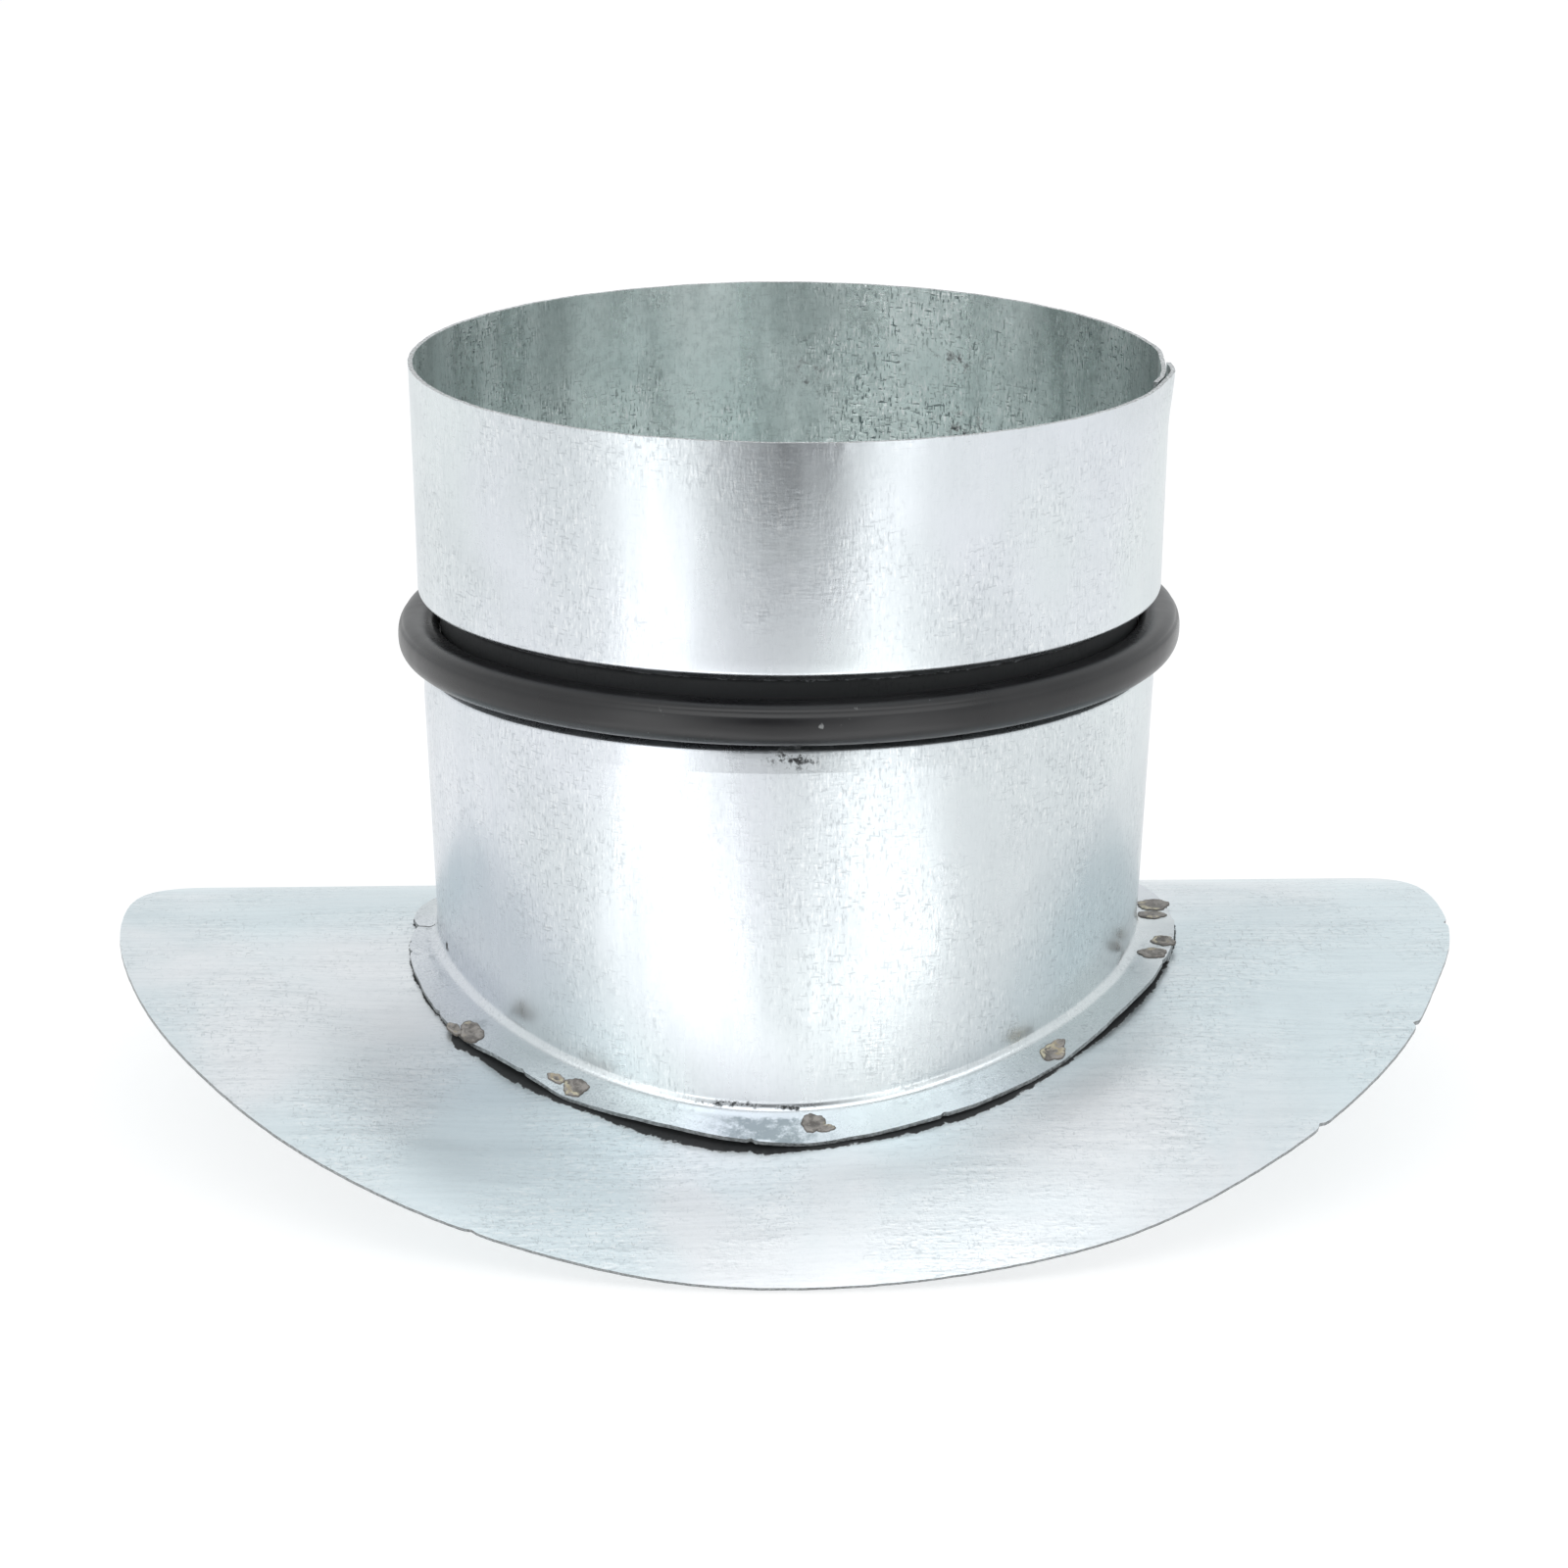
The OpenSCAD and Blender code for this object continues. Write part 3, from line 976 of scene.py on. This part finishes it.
def rubber():
    """Black rubber with a satin skin, handling marks and a little dust."""
    n = Nodes("black_rubber")
    skin = n.noise(n.place, 1800, 3, 0.6)
    patches = n.noise(n.place, 60, 4, 0.6, 0.5)
    specks = n.noise(n.place, 900, 2, 0.5)
    dust = n.math("MULTIPLY", n.ramp(specks, 0.70, 0.78), n.ramp(patches, 0.5, 0.65))
    black, worn = colour(0.006, 0.006, 0.007), colour(0.013, 0.013, 0.014)
    base = n.mix(n.ramp(patches, 0.3, 0.7), black, worn)
    base = n.mix(n.math("MULTIPLY", dust, 0.5), base, colour(0.35, 0.36, 0.36))
    n.set(
        Base_Color=base,
        Roughness=n.ramp(patches, 0.3, 0.7, 0.25, 0.38),
        Normal=n.bump(n.math("ADD", skin, n.math("MULTIPLY", patches, 3.0)), 0.015 * MM, 0.5),
        Specular_IOR_Level=0.5,
    )
    return n.material


def burnt_weld():
    """A spot weld's mark: grey-brown scale, a broken pale ring in it and a dark rim."""
    n = Nodes("burnt_weld")
    distance = n.value_of("from_middle")
    blotch = n.noise(n.place, 650, 4, 0.7, 0.4)
    side = n.noise(n.place, 300, 1, 0.5)
    ragged = n.math("ADD", distance, n.ramp(blotch, 0.3, 0.7, -0.35, 0.35))
    scale = n.mix(n.ramp(blotch, 0.36, 0.60), colour(0.13, 0.12, 0.11), colour(0.32, 0.30, 0.28))
    pale = n.mix(n.ramp(blotch, 0.4, 0.6), colour(0.66, 0.62, 0.46), colour(0.40, 0.33, 0.22))
    ring = n.math("MULTIPLY", n.ramp(ragged, 0.35, 0.55), n.ramp(ragged, 0.95, 0.75))
    base = n.mix(n.math("MULTIPLY", ring, n.ramp(side, 0.49, 0.60, 0.0, 0.8)), scale, pale)
    base = n.mix(n.ramp(distance, 0.86, 1.0, 0.0, 0.7), base, colour(0.07, 0.06, 0.05))
    n.set(
        Base_Color=base,
        Metallic=0.25,
        Roughness=n.ramp(blotch, 0.3, 0.7, 0.45, 0.7),
        Normal=n.bump(blotch, 0.15 * MM, 0.8),
    )
    return n.material


# --- Camera, light and floor -------------------------------------------------------------------
def make_camera():
    """A long lens, a little above the object and to the left of its middle."""
    aim = Vector((0, 0, 20.3 * MM))
    distance = 0.687
    elevation, azimuth, roll = math.radians(16.8), math.radians(-2.65), 0.0061
    back = Vector((
        math.sin(azimuth) * math.cos(elevation),
        -math.cos(azimuth) * math.cos(elevation),
        math.sin(elevation),
    ))
    data = bpy.data.cameras.new("camera")
    data.lens = 117.56
    data.sensor_width = 36
    data.shift_x = -0.0024
    camera = bpy.data.objects.new("camera", data)
    camera.location = aim + back * distance
    facing = (-back).to_track_quat("-Z", "Y").to_matrix().to_4x4()
    level = Matrix.Translation(camera.location) @ facing
    camera.matrix_world = level @ Matrix.Rotation(roll, 4, "Z")
    bpy.context.scene.collection.objects.link(camera)
    bpy.context.scene.camera = camera


def stage_sheet(name, corners, material):
    """A flat four-cornered piece of the studio; it isn't part of the object."""
    mesh = bpy.data.meshes.new(name)
    mesh.from_pydata(corners, [], [(0, 1, 2, 3)])
    sheet = bpy.data.objects.new(name, mesh)
    bpy.context.scene.collection.objects.link(sheet)
    mesh.materials.append(material)
    return sheet


def make_floor():
    """A wide pale floor, as high as the plate's lowest points; a glow keeps it near white."""
    half, z = 6.0, plate_low.z
    n = Nodes("pale_floor")
    n.set(Base_Color=colour(0.45, 0.45, 0.45), Roughness=0.9, Specular_IOR_Level=0.1)
    n.set(Emission_Color=colour(1, 1, 1), Emission_Strength=0.59)
    corners = [(-half, -half, z), (half, -half, z), (half, half, z), (-half, half, z)]
    stage_sheet("floor", corners, n.material)


def make_tent_opening():
    """The dark opening of the light tent round the camera, which the collar's front reflects."""
    n = Nodes("dark_opening")
    n.set(Base_Color=colour(0.03, 0.03, 0.035), Roughness=0.9)
    left, right, far = -0.115, 0.060, -0.335
    low, top = plate_low.z + 14 * MM, 0.22
    corners = [(left, far, low), (right, far, low), (right, far, top), (left, far, top)]
    card = stage_sheet("tent_opening", corners, n.material)
    card.visible_camera = False
    card.visible_shadow = False


# Softboxes round the object, azimuth 0 in front: azimuth, distance, height, size, radiance
SOFTBOXES = {
    "strip_left": (-38, 0.21, 0.045, (0.06, 0.13), 0.95),
    "strip_right": (23, 0.21, 0.045, (0.04, 0.13), 0.85),
    "front_top": (0, 0.50, 0.80, (1.4, 0.45), 1.25),
}

# Bright patches of the floor, which the sheets reflect: azimuth, distance, size, radiance
FLOOR_GLOWS = {
    "glow_left": (-34, 0.160, (0.10, 0.10), 0.76),
    "glow_right": (22, 0.165, (0.09, 0.10), 0.78),
    "glow_front": (-3, 0.105, (0.13, 0.03), 0.55),
    "glow_under": (0, 0.0, (0.085, 0.085), 1.38),
}
LIGHT_AIM = Vector((0, 0, 20 * MM))


def soft_light(name, azimuth, distance, height, size, radiance):
    """A softbox of a given radiance that faces the object."""
    data = bpy.data.lights.new(name, "AREA")
    data.shape = "RECTANGLE"
    data.size, data.size_y = size
    data.energy = radiance * math.pi * size[0] * size[1]
    light = bpy.data.objects.new(name, data)
    turn = math.radians(azimuth)
    light.location = (distance * math.sin(turn), -distance * math.cos(turn), height)
    facing = LIGHT_AIM - light.location
    light.rotation_euler = facing.to_track_quat("-Z", "Y").to_euler()
    light.visible_camera = False
    bpy.context.scene.collection.objects.link(light)
    return light


def floor_glow(name, azimuth, distance, size, radiance):
    """A bright patch that lies on the floor and faces up."""
    light = soft_light(name, azimuth, distance, plate_low.z + MM, size, radiance)
    light.rotation_euler = (math.pi, 0, math.radians(azimuth))


def make_studio():
    """The pale surroundings, the floor and the lights."""
    world = bpy.data.worlds.new("studio")
    world.use_nodes = True
    background = world.node_tree.nodes["Background"]
    background.inputs["Color"].default_value = colour(0.97, 0.99, 1.0)
    background.inputs["Strength"].default_value = 0.92
    bpy.context.scene.world = world
    make_floor()
    make_tent_opening()
    for name, values in SOFTBOXES.items():
        soft_light(name, *values)
    for name, values in FLOOR_GLOWS.items():
        floor_glow(name, *values)


# --- Assembly ----------------------------------------------------------------------------------
# Stretches of the rolled grain and of the marks across it, on the collar and on the plate
UP_AND_DOWN, ROUND_IT = (1, 1, 0.05), (0.25, 0.25, 1)
LENGTHWAYS, CROSSWAYS = (0.04, 1, 1), (1, 0.25, 1)

# Bright, cool, dull and stained zinc of each kind of sheet
COLLAR_TINTS = (
    colour(0.70, 0.73, 0.77),
    colour(0.69, 0.74, 0.75),
    colour(0.61, 0.65, 0.67),
    colour(0.18, 0.20, 0.22),
)
# Painted light: the inner face's zinc is a much brighter copy of the outer face's, standing in for
# light that reaches inside the collar
INSIDE_TINTS_PAINTED_BRIGHT = (
    colour(0.92, 0.96, 0.95),
    colour(0.86, 0.93, 0.92),
    colour(0.76, 0.84, 0.83),
    colour(0.13, 0.17, 0.17),
)
PLATE_TINTS = (
    colour(0.84, 0.86, 0.88),
    colour(0.76, 0.85, 0.88),
    colour(0.70, 0.78, 0.81),
    colour(0.34, 0.38, 0.40),
)


def place(piece, node, slot, *materials):
    """Gives a piece its materials and puts it in the place of a CAD node."""
    for material in materials:
        piece.data.materials.append(material)
    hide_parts(node)
    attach(piece, "root")


def main():
    """Builds the studio, the materials and the five pieces."""
    make_camera()
    make_studio()
    bpy.context.scene.view_settings.view_transform = "Standard"
    outside = galvanised(
        "galvanised_collar", UP_AND_DOWN, ROUND_IT, COLLAR_TINTS, stipple=0.65, brushed=0.05
    )
    # Painted light: the inside's brighter zinc stands in for light reaching inside the collar
    inside = galvanised(
        "galvanised_inside_painted_bright", UP_AND_DOWN, ROUND_IT, INSIDE_TINTS_PAINTED_BRIGHT, stipple=2.6, mottle=0.34
    )
    plate_zinc = galvanised(
        "galvanised_plate", LENGTHWAYS, CROSSWAYS, PLATE_TINTS, stipple=0.8, rough=0.35, brushed=0.20
    )
    sheared = cut_edge("sheared_edge", colour(0.22, 0.23, 0.23), colour(0.45, 0.47, 0.48))
    # Painted highlight: light colours on the rim's cut edge stand in for the bright line along its
    # top, over its torn bare metal
    rim_highlight_edge = cut_edge("rim_edge_painted_highlight", colour(0.30, 0.31, 0.31), colour(0.80, 0.82, 0.83))
    weld = burnt_weld()
    place(make_plate(), "saddle_plate", "galvanised_plate", plate_zinc, sheared)
    place(make_collar(), "collar", "galvanised_collar", outside, rim_highlight_edge, inside, sheared)
    place(make_ring(), "seal_ring", "seal_rubber", rubber())
    place(make_flange_welds(), "flange_welds", "weld_spots", weld)
    place(make_seam_welds(), "seam_welds", "weld_spots", weld)


main()
